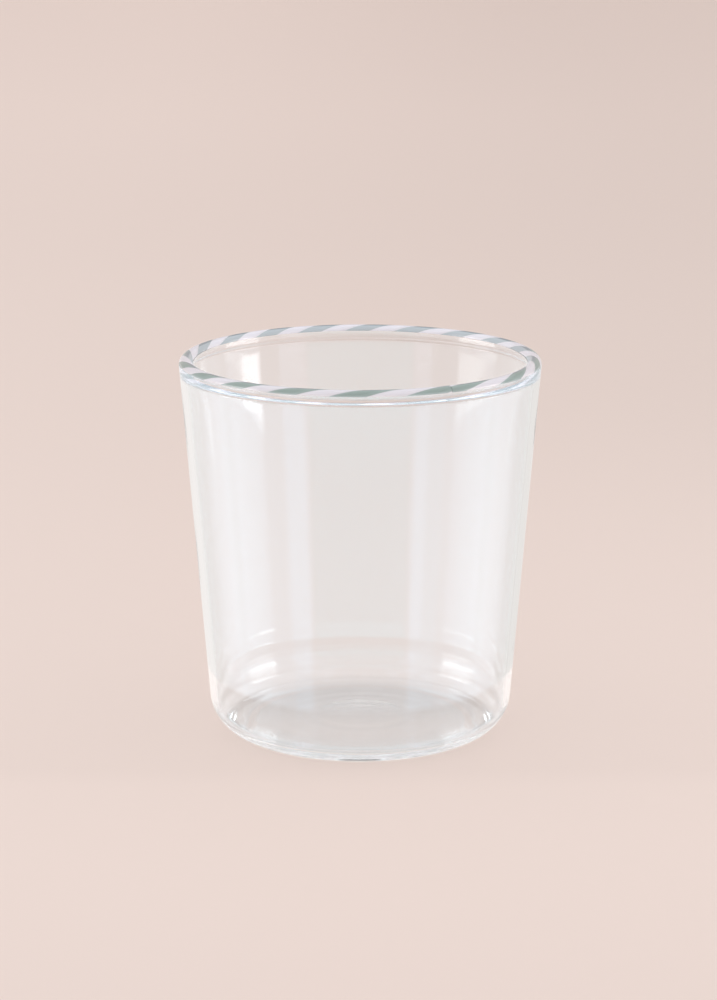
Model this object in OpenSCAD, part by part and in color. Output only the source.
// Chai glass: a flaring tumbler of clear glass with a twisted two-colour cane fused on its rim.
// The foot stands on z = 0, the axis of the glass is Z, and the front is towards -Y.

/* [Bowl] */
// Outside diameter over the rim bead
rim_d = 80; // [74:0.2:90]
// Overall height, from the table to the top of the coloured rim
height = 85.2; // [72:0.2:110]
// Outside diameter that the straight wall would reach at the table
base_d = 66.5; // [58:0.1:72]
// Thickness of the side wall
wall_t = 1.5; // [1.2:0.1:2.2]
// Outside radius of the rounded heel
heel_r = 8.7; // [6:0.1:10]
// Inside radius where the wall turns into the floor
cove_r = 4.2; // [3:0.1:8]

/* [Base] */
// Thickness of the glass over the foot ring
floor_t = 2.2; // [1.8:0.1:4]
// Width of the flat ring that the glass stands on
foot_w = 1.6; // [0.8:0.1:3]
// Height to which the underside is pushed up in the middle
punt_h = 0.8; // [0.4:0.1:1.6]
// Rise of the floor from the cove to the middle
crown_h = 0.8; // [0.4:0.1:2.4]
// Width of a ripple ring in the floor
ripple_w = 4.6; // [3:0.1:7]
// Height of a ripple ring above the floor
ripple_h = 0.1; // [0.05:0.05:0.4]

/* [Rim] */
// Thickness of the rim bead, with the coloured cane as its top
bead_d = 3.2; // [2.6:0.1:4.2]
// Angle on the bead, up from its middle, at which the cane begins
cane_edge = 15; // [5:1:30]
// Depth below the bead's middle from which the wall thickens towards it
neck_h = 3.4; // [2.8:0.1:8]
// Clearance between the cane and the seat that it is fused to
fuse_gap = 0.02; // [0.01:0.01:0.1]

/* [Cane] */
// Turns that the cane makes about itself on its way round the rim
cane_turns = 9.12; // [4:0.01:14]
// How unevenly the cane is twisted, as a share of the hand-made one
unevenness = 1; // [0:0.05:1.3]
// Turn of the cane about itself at its joint
cane_start = 40; // [-180:1:180]
// Place of the butt joint, as an angle round the rim from the front towards +X
joint_at = 29; // [0:1:359]
// Clearance between the two ends of the cane
joint_gap = 0.1; // [0.05:0.05:1]
// Rings of points for each turn of the cane
rings_per_turn = 24; // [12:1:28]

/* [Hidden] */

// Facets round the glass, and the angle between the points of an arc in its section
round_fn = 180;
arc_step = 7;
punt_step = 0.5;
floor_steps = 54;

// Ripple rings, by where they lie between the axis and the edge of the floor
ripple_place_shares = [0.36, 0.66];

// The middle of the bead's section
bead_r = bead_d / 2;
bead_c = [rim_d / 2 - bead_r, height - bead_r];

// The wall leans so that it runs out flush on the outside of the bead
base_r = base_d / 2;
bead_reach = norm(bead_c - [base_r, 0]);
lean = atan2(bead_c.x - base_r, bead_c.y) + asin(bead_r / bead_reach);

// Points on an arc of radius r about c, from the angle a to the angle b, one in every step
function arc(c, r, a, b, step) =
    let (steps = ceil(abs(b - a) / step))
    [for (i = [0 : steps]) let (t = a + (b - a) * i / steps) c + r * [cos(t), sin(t)]];
// Radius of an arc that rises by h over half its chord w
function arc_radius(w, h) = (w * w + h * h) / (2 * h);
// Radius of a line at depth t inside the outer wall, at height z
function wall_radius(z, t) = base_r + z * tan(lean) - t / cos(lean);
// Middle of an arc of radius r that rounds the corner between the level z and that line
function corner_middle(z, r, t) = [wall_radius(z + r, t + r), z + r];

heel_c = corner_middle(0, heel_r, 0);
cove_c = corner_middle(floor_t, cove_r, wall_t);
punt_edge = heel_c.x - foot_w;
punt_r = arc_radius(punt_edge, punt_h);

// Start of the neck on the inner wall, and the angle at which it meets the bead
neck_c = [wall_radius(bead_c.y - neck_h, wall_t), bead_c.y - neck_h];
neck_reach = bead_c - neck_c;
neck_angle = 90 + atan2(neck_reach.y, neck_reach.x) + asin(bead_r / norm(neck_reach));

// Height of the floor at radius x: a crown that starts and ends level, and its ripple rings
function floor_z(x) = floor_t + crown_h * (1 + cos(180 * x / cove_c.x)) / 2
    + ripple_h * sum([for (share = ripple_place_shares) ring_swell((x - share * cove_c.x) / ripple_w)]);
// A swell that is one high in the middle and level at both sides, half a width away
function ring_swell(t) = abs(t) < 0.5 ? (1 + cos(360 * t)) / 2 : 0;
function sum(list) = list * [for (item = list) 1];

// Level of the flat seat on the bead, and the underside of the cane that lies on it
cane_z = bead_c.y + bead_r * sin(cane_edge);
seat_z = cane_z - fuse_gap;
seat_angle = asin((seat_z - bead_c.y) / bead_r);
// Half the width of the cane's flat underside
cane_half = bead_r * cos(cane_edge);
// The point that the strands wind about, at a share of the cane's height
core_height_share = 0.4;
core = [bead_c.x, cane_z + core_height_share * (height - cane_z)];
// Part of a full turn that shows on the rounded top. The rest lies on the seat
top_turn = 155;
// Angle that one of the four strands fills, and the points along its outside
strand_turn = 90;
strand_points = 5;

// Slow waves in a hand-turned twist: degrees ahead or behind, waves per lap, degrees of phase
wander = [[68, 1, 201], [23, 2, 154], [14, 3, 181]];

// Turn of the cane about itself, in degrees, at the angle a past its joint
function cane_turn(a) = cane_start + cane_turns * a
    + unevenness * sum([for (w = wander) w[0] * sin(w[1] * a + w[2])]);

// A point on the outside of the cane's section, at the winding angle t from the outer side.
// The middle of the top is at 90 degrees.
function cane_outline(t) =
    let (from_top = (((t - 90) % 360) + 540) % 360 - 180)
    abs(from_top) <= top_turn / 2
        ? let (a = 90 + from_top * (90 - cane_edge) / (top_turn / 2))
          bead_c + bead_r * [cos(a), sin(a)]
        : let (past = (abs(from_top) - top_turn / 2) / (180 - top_turn / 2))
          [bead_c.x - sign(from_top) * cane_half * (1 - past), cane_z];

// Section of one strand whose middle is at the winding angle m
function strand_section(m) = concat([core], [for (i = [0 : strand_points - 1])
    cane_outline(m + strand_turn * (i / (strand_points - 1) - 0.5))]);

// A section point [radius, height] carried round the rim to the angle a from the front
function round_rim(p, a) = [p.x * sin(a), -p.x * cos(a), p.y];

// A closed skin over equal sections, each a loop of n points that fans out from its first point.
// The last side is split the other way, so that it matches the first side of the next strand.
module skin(sections) {
    n = len(sections[0]);
    count = len(sections);
    points = [for (section = sections) each section];
    sides = [for (s = [0 : count - 2]) for (i = [0 : n - 1])
        let (a = s * n + i, b = s * n + (i + 1) % n)
        each i < n - 1
            ? [[a, b, b + n], [a, b + n, a + n]]
            : [[a, b, a + n], [b, b + n, a + n]]];
    last = (count - 1) * n;
    start = [for (i = [1 : n - 2]) [i + 1, i, 0]];
    end = [for (i = [1 : n - 2]) [last, last + i, last + i + 1]];
    polyhedron(points, concat(start, sides, end), convexity = 10);
}

// One strand of the cane, a quarter turn of it, from the joint all the way round to the joint
module strand(quarter) {
    gap_angle = joint_gap / bead_c.x * 180 / PI;
    lap = 360 - gap_angle;
    steps = ceil(cane_turns * rings_per_turn);
    skin([for (s = [0 : steps])
        let (a = gap_angle / 2 + lap * s / steps)
        [for (p = strand_section(cane_turn(a) + quarter * strand_turn))
            round_rim(p, joint_at + a)]]);
}

// Section of the clear glass, from the middle of the underside, up the outside and down the inside
module bowl_section() {
    polygon(concat(
        arc([0, punt_h - punt_r], punt_r, 90, 90 - asin(punt_edge / punt_r), punt_step),
        arc(heel_c, heel_r, -90, -lean, arc_step),
        arc(bead_c, bead_r, -lean, seat_angle, arc_step),
        arc(bead_c, bead_r, 180 - seat_angle, neck_angle, arc_step),
        [neck_c],
        arc(cove_c, cove_r, -lean, -90, arc_step),
        [for (i = [1 : floor_steps]) let (x = cove_c.x * (1 - i / floor_steps)) [x, floor_z(x)]]
    ));
}

// The clear tumbler: wall, heel, base with its rings, and the bead with the flat seat of the cane
module glass_body() {
    color([0.86, 0.91, 0.91, 0.35]) rotate_extrude($fn = round_fn) bowl_section();
}

module teal_strand(quarter) { color([0.47, 0.58, 0.57]) strand(quarter); }
module white_strand(quarter) { color([0.90, 0.89, 0.91]) strand(quarter); }

glass_body();
teal_strand(0);  // teal_strand_1
white_strand(1);  // white_strand_1
teal_strand(2);  // teal_strand_2
white_strand(3);  // white_strand_2
